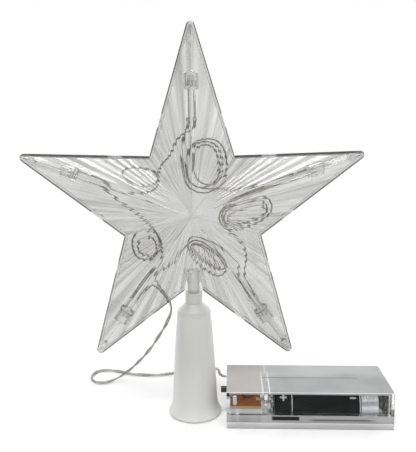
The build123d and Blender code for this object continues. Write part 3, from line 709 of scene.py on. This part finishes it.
# %% Wire routes
wire_routes = {
    "feed_wire": [
        near_lead(1, -strand_aside), near_lead(1.8, -strand_aside), near_lead(2.2, -0.6 * lead_inside),
        leg_point("lower_left", -1),
    ],
    "left_loop_wire": [
        leg_point("lower_left", 1), leg_point("lower_left", 1, 0.68),
        *hank((-0.634, -0.484), (0.255, 0.285), 0, "bottom_right", 6, 4),
        in_star(-0.72, -0.03), in_star(-1.0, 0.16), leg_point("left", -1, 0.863), leg_point("left", -1),
    ],
    "upper_left_loop_wire": [
        leg_point("left", 1), leg_point("left", 1, 0.863),
        *hank((-0.735, 0.467), (0.335, 0.225), 0, "bottom_left", 4, 3),
        in_star(-0.28, 0.78), in_star(-0.2, 1.01), leg_point("top", -1, 0.895), leg_point("top", -1),
    ],
    "top_loop_wire": [
        leg_point("top", 1), leg_point("top", 1, 0.895),
        *hank((0.175, 0.655), (0.355, 0.44), 0, "top_left", 8, 7),
        in_star(0.605, 0.29), leg_point("right", -1, 0.824), leg_point("right", -1),
    ],
    "right_loop_wire": [
        leg_point("right", 1), leg_point("right", 1, 0.824),
        *hank((0.735, 0.0), (0.43, 0.28), 18.7, "top_right", 8, 7),
        in_star(0.68, -0.42), in_star(0.75, -0.65),
        leg_point("lower_right", -1, 0.784), leg_point("lower_right", -1),
    ],
    "lower_loop_wire": [
        leg_point("lower_right", 1), leg_point("lower_right", 1, 0.745),
        *hank((0.20, -0.62), (0.42, 0.235), -38, "top_right", 8, 7),
        in_star(-0.32, -0.75), near_lead(2.64, 0.8 * lead_inside), near_lead(2.3, strand_aside),
        near_lead(1, strand_aside),
    ],
}
print("wire points:", [len(route) for route in wire_routes.values()])

# %% Wires
metal = {"Metallic": 1.0}


def plain_finish(name, colours, grain, rough, specks, levels=None, dents=None, passes=None, on=()):
    """A finish of two noises, one for its colour and one for its roughness, put on CAD nodes."""
    made, tree, shader = new_finish(name, levels)
    tint(shader, *colours, noise(tree, *grain))
    wear(shader, *rough, noise(tree, *specks))
    if dents:
        scale, strength, distance = dents
        bump(shader, noise(tree, scale, 2), strength, distance)
    if passes:
        let_lamps_through(shader, passes)
    dress(made, *on)
    return made


wire_lacquer = plain_finish(
    "wire_lacquer", colours=((0.17, 0.165, 0.14), (0.42, 0.41, 0.36)), grain=(500, 3),
    rough=(0.2, 0.38), specks=(1500, 2), levels={"Metallic": 0.55, "Coat Weight": 0.4},
)
for node, route in wire_routes.items():
    wire = round_wire(node + "_wound", route, wire_radius)
    wire.data.materials.append(wire_lacquer)
    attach(wire, "star_and_case")
    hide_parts(node)
    print(node, len(wire.data.polygons), "faces")

# %% [markdown]
# ## Lead finish
# Each strand of the lead is a bundle of tinned copper in a clear sheath. The sheath bends the light and
# the core shows through it as a silver line, which is why the lead looks grey with bright edges.

# %% Lead finish
sheath_plastic = plain_finish(
    "lead_sheath_plastic", colours=((0.86, 0.86, 0.84), (0.92, 0.92, 0.90)), grain=(300,),
    rough=(0.06, 0.14), specks=(900,), levels={"Transmission Weight": 1.0, "IOR": 1.47}, passes=0.85,
)
sheath.data.materials.append(sheath_plastic)
tinned_copper = plain_finish(
    "tinned_copper", colours=((0.30, 0.30, 0.29), (0.55, 0.55, 0.53)), grain=(1200, 3),
    rough=(0.25, 0.45), specks=(2000, 2), levels=metal,
)
core.data.materials.append(tinned_copper)
print("lead dressed in", sheath_plastic.name, "over", tinned_copper.name)

# %% [markdown]
# ## Lamps in the star
# A small clear lamp is a resin dome over two metal tabs: a wide one with a cup that holds the glowing
# chip and a slim post beside it. The domes come from the CAD model. The tabs are modelled once from a
# block and a cup, then copied to each arm, so that the domes have something to show.

# %% Block and cup
cup_hollow, cup_taper = 0.6, 0.6


def bevelled_block(name, low, high, offset):
    """A block between two corners with softened edges."""
    size = [b - a for a, b in zip(low, high)]
    middle = [(a + b) / 2 for a, b in zip(low, high)]
    bpy.ops.object.select_all(action="DESELECT")
    bpy.ops.mesh.primitive_cube_add(size=1, location=middle, scale=size)
    block = bpy.context.object
    block.name = name
    bpy.ops.object.transform_apply(location=True, rotation=True, scale=True)
    bpy.ops.object.mode_set(mode="EDIT")
    bpy.ops.mesh.select_all(action="SELECT")
    bpy.ops.mesh.bevel(offset=offset, segments=2, affect="EDGES")
    bpy.ops.object.mode_set(mode="OBJECT")
    return block


def cup(name, place, radius, height, wall):
    """A small open cup: a cylinder whose top is inset and pushed down."""
    bpy.ops.object.select_all(action="DESELECT")
    bpy.ops.mesh.primitive_cylinder_add(vertices=16, radius=radius, depth=height, location=place)
    made = bpy.context.object
    made.name = name
    bpy.ops.object.transform_apply(location=True, rotation=True, scale=True)
    top = max(made.data.polygons, key=lambda face: face.center.z)
    for face in made.data.polygons:
        face.select = face.index == top.index
    bpy.ops.object.mode_set(mode="EDIT")
    bpy.ops.mesh.inset(thickness=wall)
    bpy.ops.mesh.extrude_region_move(TRANSFORM_OT_translate={"value": (0, 0, -height * cup_hollow)})
    bpy.ops.transform.resize(value=(cup_taper, cup_taper, 1), center_override=place)
    bpy.ops.object.mode_set(mode="OBJECT")
    return made


# %% Lamp tabs
half_tab = 0.00025
tab_bevel = 0.00012
lamp_seat = 0.0574
lamp_tabs = joined(
    [
        bevelled_block("wide_tab", (-0.0017, -half_tab, 0.0012), (0.0002, half_tab, 0.0034), tab_bevel),
        cup("chip_cup", (-0.0003, 0, 0.0036), radius=0.0007, height=0.0008, wall=0.00015),
        bevelled_block("slim_post", (0.0009, -half_tab, 0.0012), (0.0016, half_tab, 0.0040), tab_bevel),
    ],
    "lamp_tabs",
)
tab_steel = plain_finish(
    "tab_steel", colours=((0.78, 0.78, 0.76), (0.9, 0.9, 0.88)), grain=(800, 3),
    rough=(0.3, 0.45), specks=(1600, 2), levels=metal,
)
lamp_tabs.data.materials.append(tab_steel)


def on_arm(arm, reach):
    """A matrix that stands a piece on an arm: its Z along the arm, its X aside, its Y to the back."""
    out = around_star(arms[arm][0])
    aside = Vector((out.z, 0, -out.x))
    turn = Matrix((aside, out.cross(aside), out)).transposed().to_4x4()
    return Matrix.Translation(star_middle + out * reach) @ turn


for arm in arms:
    tabs = lamp_tabs.copy()
    tabs.data = lamp_tabs.data.copy()
    tabs.name = f"lamp_tabs_{arm}"
    bpy.context.scene.collection.objects.link(tabs)
    tabs.data.transform(on_arm(arm, lamp_seat))
    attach(tabs, "star_and_case")
bpy.data.objects.remove(lamp_tabs)
print("lamp tabs on", len(arms), "arms")

# %% [markdown]
# ### Lamp finishes
# The domes are clear epoxy, a little warmer and softer than the star. The legs are tinned wire, and each
# joint is a blob of solder, brighter and lumpier than the wire it holds.

# %% Lamp finishes
plain_finish(
    "lamp_resin", colours=((0.90, 0.91, 0.88), (0.94, 0.95, 0.93)), grain=(400,),
    rough=(0.03, 0.08), specks=(900,), levels={"Transmission Weight": 1.0, "IOR": 1.52}, passes=0.9,
    on=("lamp_top", "lamp_right", "lamp_lower_right", "lamp_lower_left", "lamp_left"),
)
plain_finish(
    "tinned_wire", colours=((0.50, 0.50, 0.48), (0.68, 0.68, 0.66)), grain=(900, 3),
    rough=(0.25, 0.4), specks=(1800, 2), levels=metal,
    on=("lamp_legs", "resistor_legs", "switch_pins"),
)
solder_metal, tree, shader = new_finish("solder_metal", metal)
blobs = noise(tree, 1400, 4)
tint(shader, (0.62, 0.62, 0.60), (0.82, 0.82, 0.80), blobs)
wear(shader, 0.15, 0.35, blobs)
bump(shader, blobs, strength=0.35, distance=0.0003)
dress(solder_metal, "solder_joints", "lead_pads")
print("lamps, legs and solder dressed")

# %% [markdown]
# ## Battery case
# The tray is clear. The cover and the sliding door are clear at their walls but have a frosted top, which
# shows what lies under it only as soft tones. The case stands a little turned on the table, so its
# finishes first map the frame onto the case's own axes.

# %% Case axes
case_origin = Vector((0.0153, -0.0175, 0))
case_turn = math.radians(-2.3)
case_turned = Matrix.Rotation(case_turn, 3, "Z")
seam_height = 0.0077


def in_case(along, back, up):
    """A place given along the case, from its front wall to the back, and up."""
    return case_origin + case_turned @ Vector((along, back, up))


def case_axes(tree):
    """The three coordinates along, back and up of the case, for a finish."""
    turned = {"Location": case_origin, "Rotation": (0, 0, case_turn)}
    place = add_node(tree, "Mapping", turned, vector_type="TEXTURE")
    link(add_node(tree, "TexCoord").outputs["Object"], place.inputs["Vector"])
    split = add_node(tree, "SeparateXYZ")
    link(place.outputs["Vector"], split.inputs[0])
    return split.outputs


def between(source, low, high, soft):
    """One inside a span and nought outside it, with soft ends."""
    rise = range_node(source, low - soft, low + soft)
    return product(rise, range_node(source, high - soft, high + soft, 1, 0))


print("case corner at", [round(x, 4) for x in in_case(0, 0, 0)])

# %% [markdown]
# ### Clear tray
# The tray is thick, so its front wall shows pale and grey lines from its steps and corners, and the dark
# underside of a cell in one place. Solid glass would need the exact room of the photograph for that, so
# these lines are painted reflections and painted shade, laid into the wall's front face by height, and only
# there. The post that holds the board is given the same milky look.

# %% Clear tray
front_face = (0.0002, 0.0006)
painted_reflection_greys = [
    (0.02, 0.45), (0.14, 0.70), (0.28, 0.76), (0.33, 0.97), (0.39, 0.97),
    (0.44, 0.40), (0.52, 0.56), (0.92, 0.60), (0.98, 0.9),
]
wall_top = (0.0067, 0.0072)
strip_along, strip_up = (0.0215, 0.0345), (0.0044, 0.0064)
streak_along, streak_up = (0.0400, 0.0690), (0.0042, 0.0051)
streak_strength = 0.7
painted_cell_shade = (0.03, 0.03, 0.032)
post_sides, post_foot = (0.0026, 0.0052), (0.0095, 0.0100)
milky = grey(0.95)
milky_clearness = 0.38
tray_pass = 0.95
tray_plastic, tree, shader = new_finish(
    "tray_clear_plastic", {"IOR": 1.49, "Specular Tint": (0.06, 0.06, 0.06, 1)}
)
slow = noise(tree, 70, 2)
wear(shader, 0.0, 0.03, noise(tree, 220))
bump(shader, slow, strength=0.08, distance=0.0004)
along, back, up = case_axes(tree)
# Painted reflections and painted shade on the front wall's face: pale and grey lines by height, a dark strip
# and a streak.
lines = ramp_node(range_node(up, 0, seam_height), painted_reflection_greys)
painted_shade_strip = product(between(along, *strip_along, soft=0.0003), between(up, *strip_up, soft=0.0002))
painted_shade_streak = product(
    between(along, *streak_along, soft=0.0020),
    between(up, *streak_up, soft=0.0004),
    streak_strength,
)
lines = mixed(largest(painted_shade_strip, painted_shade_streak), lines, painted_cell_shade)
streaks = tones(noise(tree, 500, 3, (0.05, 1, 2)), 0.86, 1.0)
wall_face = product(range_node(back, *front_face, 1, 0), range_node(up, *wall_top, 1, 0))
post = product(
    between(along, *post_sides, soft=0.0002),
    between(back, *post_sides, soft=0.0002),
    range_node(up, *post_foot),
)
tone = tones(slow, (0.93, 0.94, 0.94), (0.96, 0.97, 0.97))
tone = mixed(wall_face, tone, vector_node("MULTIPLY", lines, streaks))
link(mixed(post, tone, milky), shader.inputs["Base Color"])
clearness = range_node(largest(wall_face, post), 0, 1, 1.0, milky_clearness)
link(clearness, shader.inputs["Transmission Weight"])
let_lamps_through(shader, tray_pass, contact_faces(tree, "Z", seam_height))
dress(tray_plastic, "case_tray")
print("tray dressed in", tray_plastic.name)

# %% [markdown]
# ### Frosted tops
# The upper faces of the cover and the door are frosted. What lies under them is painted on as a soft tone:
# warm over the board and darker over the front cell. The tone also holds painted shade at the gap between
# the two cells and in one patch over the door, painted highlights on the two ribs, and a pale line along
# the front edge. On the front wall a dark line is painted at the end wall, and the wall under the board is
# painted lighter and frosted, where shade falls inside. Otherwise the walls below stay clear. Frost is found
# from how flat a face lies and how high it is.

# %% Frosted tops
frost_facing, frost_height = (0.55, 0.8), (0.0160, 0.0168)
frost_clearness = 0.22
clear_rough, frost_rough, speckle_rough = 0.03, 0.42, 0.06
cells_along, gap_back = (0.0177, 0.065), (0.0169, 0.0177)
back_cell = (0.0155, 0.0215)
over_board_end, under_board_end = (0.0168, 0.0178), (0.0165, 0.0175)
board_underside = (0.0098, 0.0104)
cover_rib, door_rib, rib_fade = (0.0170, 0.0176), (0.0202, 0.0208), (0.018, 0.026)
shade_along, shade_back = (0.054, 0.066), (0.0175, 0.0225)
shade_strength = 0.7
front_lip, end_wall = (0.0005, 0.0008), (0.0767, 0.0775)
rib_highlight_tone, shade_tone, gap_shade_tone = (0.78, 0.79, 0.79), (0.30, 0.31, 0.31), grey(0.16)
clear_wall, end_tone = (0.92, 0.93, 0.93), grey(0.06)
wall_light_under_board, haze_light_under_board, board_frost = (0.70, 0.71, 0.71), (0.62, 0.63, 0.63), 0.8
top_pass = 0.85
top_plastic, tree, shader = new_finish(
    "case_frosted_top", {"IOR": 1.49, "Specular Tint": (0.08, 0.08, 0.08, 1)}
)
along, back, up = case_axes(tree)
flatness = math_node("ABSOLUTE", axes_of(tree, "Normal")["Z"])
frost = product(range_node(flatness, *frost_facing), range_node(up, *frost_height))
cloudy = noise(tree, 60, 3)
# Painted tones of what lies under the frost: warm over the board, darker over the front cell.
over_cells, over_back, over_board = [
    tones(cloudy, low, high, wide_span) for low, high in (
        ((0.36, 0.37, 0.37), (0.46, 0.47, 0.47)),
        ((0.44, 0.45, 0.45), (0.50, 0.51, 0.51)),
        ((0.43, 0.405, 0.39), (0.49, 0.47, 0.455)),
    )
]
haze = mixed(range_node(back, *back_cell), over_cells, over_back)
haze = mixed(range_node(along, *over_board_end, 1, 0), haze, over_board)
# Painted highlights on the two ribs, fading towards the back.
ribs = largest(*(between(along, *rib, soft=0.0002) for rib in (cover_rib, door_rib)))
painted_rib_highlight = product(ribs, range_node(back, *rib_fade, 1, 0))
haze = mixed(painted_rib_highlight, haze, rib_highlight_tone)
shade = product(
    between(along, *shade_along, soft=0.006),
    between(back, *shade_back, soft=0.0025),
    shade_strength,
)
haze = mixed(shade, haze, shade_tone)
haze = mixed(range_node(back, *front_lip, 1, 0), haze, milky)
# Painted shade at the gap between the two cells.
cell_gap_shade = product(between(along, *cells_along, soft=0.0006), between(back, *gap_back, soft=0.0003))
haze = mixed(cell_gap_shade, haze, gap_shade_tone)
front_wall = range_node(back, *front_face, 1, 0)
end_line = product(between(along, *end_wall, soft=0.0002), front_wall)
wall_tone = mixed(end_line, clear_wall, end_tone)
# Painted light: the front wall under the board is lighter and frosted, where shade falls inside.
under_board = product(
    range_node(along, *under_board_end, 1, 0),
    range_node(up, *board_underside, 1, 0),
    front_wall,
)
wall_tone = mixed(under_board, wall_tone, wall_light_under_board)
haze = mixed(under_board, haze, haze_light_under_board)
frost = largest(frost, product(under_board, board_frost))
link(mixed(frost, wall_tone, haze), shader.inputs["Base Color"])
clearness = range_node(frost, 0, 1, 1.0, frost_clearness)
link(clearness, shader.inputs["Transmission Weight"])
speckle = noise(tree, 1800, 3)
rough = range_node(frost, 0, 1, clear_rough, frost_rough)
rough = math_node("ADD", rough, product(speckle, speckle_rough))
link(rough, shader.inputs["Roughness"])
bump(shader, product(speckle, frost), strength=0.15, distance=0.0002)
let_lamps_through(shader, top_pass, contact_faces(tree, "Z", seam_height))
dress(top_plastic, "case_cover", "battery_door")
print("cover and door dressed in", top_plastic.name)

# %% [markdown]
# ## Cells
# Two cells lie side by side, end to end reversed. Each has a plain black sleeve that stops short of the
# flat end, where a silver band shows, with a thin ring at the border, another near the button, and a
# small plus and minus sign. The pattern is worked out along and around each cell, so it needs no picture.

# %% Cell sleeves
cell_up = 0.0096
front_cell_back, rear_cell_back = 0.0089, 0.0238
band_end, ring, thin_ring = (0.0077, 0.0081), (0.0083, 0.0088), (0.0405, 0.0409)
plus_wide, plus_tall, minus_wide = (0.0432, 0.0464), (0.0444, 0.0452), (0.0104, 0.0132)
bar_turn, tall_turn = (-0.86, -0.75), (-1.03, -0.58)
print_tone, band_metal = (0.62, 0.62, 0.60), 0.55


def sleeve_finish(name, flat_end, toward_button, cell_back):
    """A black sleeve with a silver band at the flat end of one cell."""
    made, tree, shader = new_finish(name, {"Specular IOR Level": 0.1})
    along, back, up = case_axes(tree)
    reach = product(math_node("SUBTRACT", along, flat_end), toward_button)
    behind, above = math_node("SUBTRACT", back, cell_back), math_node("SUBTRACT", up, cell_up)
    around = math_node("ARCTAN2", behind, above)
    strokes = [
        product(between(reach, *wide, soft=0.0001), between(around, *turn, soft=0.02))
        for wide, turn in ((plus_wide, bar_turn), (plus_tall, tall_turn), (minus_wide, bar_turn))
    ]
    rings = [between(reach, *span, soft=0.00008) for span in (ring, thin_ring)]
    band = range_node(reach, *band_end, 1, 0)
    streaks = noise(tree, 260, 3, (0.06, 3, 3))
    silver = tones(streaks, (0.55, 0.56, 0.57), (0.88, 0.89, 0.90), wide_span)
    black = tones(noise(tree, 150, 3), (0.004, 0.004, 0.0045), (0.009, 0.009, 0.010), wide_span)
    printed = mixed(largest(*strokes, *rings), black, print_tone)
    link(mixed(band, printed, silver), shader.inputs["Base Color"])
    link(product(band, band_metal), shader.inputs["Metallic"])
    wear(shader, 0.16, 0.3, noise(tree, 400, 3))
    bump(shader, noise(tree, 120, 2), strength=0.05, distance=0.0003)
    return made


front_label = sleeve_finish("front_cell_label", flat_end=0.0719, toward_button=-1, cell_back=front_cell_back)
rear_label = sleeve_finish("rear_cell_label", flat_end=0.0265, toward_button=1, cell_back=rear_cell_back)
dress(front_label, "front_cell_sleeve")
dress(rear_label, "rear_cell_sleeve")
plain_finish(
    "cell_steel", colours=((0.52, 0.52, 0.53), (0.68, 0.68, 0.69)), grain=(200, 4, (1, 6, 6)),
    rough=(0.22, 0.38), specks=(700, 2), levels=metal,
    on=("front_cell_can", "rear_cell_can", "front_cell_button", "rear_cell_button"),
)
plain_finish(
    "cell_seal_plastic", colours=((0.025, 0.025, 0.027), (0.05, 0.05, 0.052)), grain=(500, 3),
    rough=(0.4, 0.6), specks=(1200, 2),
    on=("front_cell_seal", "rear_cell_seal"),
)
print("cells and sleeves dressed")

# %% [markdown]
# ## Springs and contacts
# A conical spring presses on each flat end. Its wire is wound from a wide first turn, flat on the plate,
# to a narrow last one, so it folds flat without its turns catching. It is drawn as one spline of evenly
# spaced points, which stay on the cone however many turns it has.

# %% Springs
spring_wire = 0.0003
spring_wide = 0.0046
spring_narrow = 0.0022
spring_length = 0.0051
spring_turns = 4
points_per_turn = 12


def cone_spring(name, node, along, back, way):
    """A conical spring that stands on a contact plate and points one way along the case."""
    places = []
    steps = spring_turns * points_per_turn
    for step in range(steps + 1):
        share = step / steps
        rise = max(0.0, share - 1 / spring_turns) / (1 - 1 / spring_turns)
        radius = spring_wide + (spring_narrow - spring_wide) * share - spring_wire
        angle = 2 * math.pi * step / points_per_turn
        reach = spring_wire + (spring_length - 2 * spring_wire) * rise
        places.append(
            in_case(along + way * reach, back + radius * math.cos(angle), cell_up + radius * math.sin(angle))
        )
    spring = round_wire(name, places, spring_wire, steps=4)
    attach(spring, "star_and_case")
    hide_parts(node)
    return spring


springs = [
    cone_spring("front_cell_spring", "bridge_spring", along=0.0770, back=front_cell_back, way=-1),
    cone_spring("rear_cell_spring", "negative_spring", along=0.0214, back=rear_cell_back, way=1),
]
spring_steel = plain_finish(
    "spring_steel", colours=((0.34, 0.33, 0.31), (0.60, 0.59, 0.56)), grain=(900, 3),
    rough=(0.2, 0.35), specks=(1500, 2), levels=metal,
)
for spring in springs:
    spring.data.materials.append(spring_steel)
plain_finish(
    "contact_steel", colours=((0.42, 0.41, 0.39), (0.60, 0.59, 0.57)), grain=(300, 4),
    rough=(0.28, 0.45), specks=(900, 2), levels=metal,
    on=("positive_contact", "negative_contact", "bridge_contact"),
)
print("springs:", [len(spring.data.polygons) for spring in springs], "faces")

# %% [markdown]
# ## Circuit board and switch
# A brown paper-phenolic board carries a resin blob over the chip, one resistor and the slide switch. Its
# sawn edges are paler than its faces. The resistor's coloured rings are bands along its own length.

# %% Board
board_facing = (0.4, 0.6)
board_phenolic, tree, shader = new_finish("board_phenolic", {"Specular IOR Level": 0.12})
flat = range_node(math_node("ABSOLUTE", axes_of(tree, "Normal")["Z"]), *board_facing)
fibres = noise(tree, 500, 4, (1, 4, 4))
face_brown = tones(fibres, (0.17, 0.050, 0.014), (0.28, 0.095, 0.030), wide_span)
edge_tan = tones(fibres, (0.55, 0.36, 0.15), (0.70, 0.50, 0.24), wide_span)
link(mixed(flat, edge_tan, face_brown), shader.inputs["Base Color"])
wear(shader, 0.35, 0.55, fibres)
bump(shader, fibres, strength=0.15, distance=0.0001)
dress(board_phenolic, "circuit_board")
print("board dressed in", board_phenolic.name)

# %% [markdown]
# ### Parts on the board
# Each small part gets the finish of its kind: lacquer with rings for the resistor, brushed steel for the
# switch's can, matt black plastic for its knob, and a dull brown resin for the blob.

# %% Parts on the board
plain_finish(
    "chip_resin", colours=((0.10, 0.045, 0.03), (0.15, 0.07, 0.045)), grain=(600, 3),
    rough=(0.18, 0.35), specks=(900, 2), dents=(350, 0.2, 0.0003),
    on=("controller_chip",),
)

ring_half, ring_soft = 0.00025, 0.00006
ring_colours = {
    -0.0018: (0.22, 0.05, 0.02),
    -0.0006: (0.03, 0.03, 0.03),
    0.0006: (0.40, 0.03, 0.02),
    0.0019: (0.55, 0.38, 0.08),
}
resistor_lacquer, tree, shader = new_finish("resistor_lacquer")
resistor_low, resistor_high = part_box("resistor")
resistor_middle = (resistor_low[1] + resistor_high[1]) / 2
offset = math_node("SUBTRACT", axes_of(tree, "Object")["Y"], resistor_middle)
colour = tones(noise(tree, 700, 3), (0.50, 0.36, 0.20), (0.60, 0.45, 0.27), wide_span)
for ring_place, ring_colour in ring_colours.items():
    ring_mask = between(offset, ring_place - ring_half, ring_place + ring_half, soft=ring_soft)
    colour = mixed(ring_mask, colour, ring_colour)
link(colour, shader.inputs["Base Color"])
wear(shader, 0.25, 0.4, noise(tree, 900, 2))
dress(resistor_lacquer, "resistor")

switch_steel, tree, shader = new_finish("switch_steel", metal)
brushed = noise(tree, 900, 3, (0.1, 1, 1))
tint(shader, (0.55, 0.55, 0.54), (0.70, 0.70, 0.69), brushed)
wear(shader, 0.25, 0.42, brushed)
dress(switch_steel, "switch_can")
plain_finish(
    "knob_black_plastic", colours=(grey(0.012), grey(0.028)), grain=(900, 3),
    rough=(0.35, 0.5), specks=(1800, 2), dents=(2500, 0.1, 0.00008),
    on=("switch_knob", "switch_block"),
)
print("board and switch dressed:", len(ring_colours), "rings on the resistor")
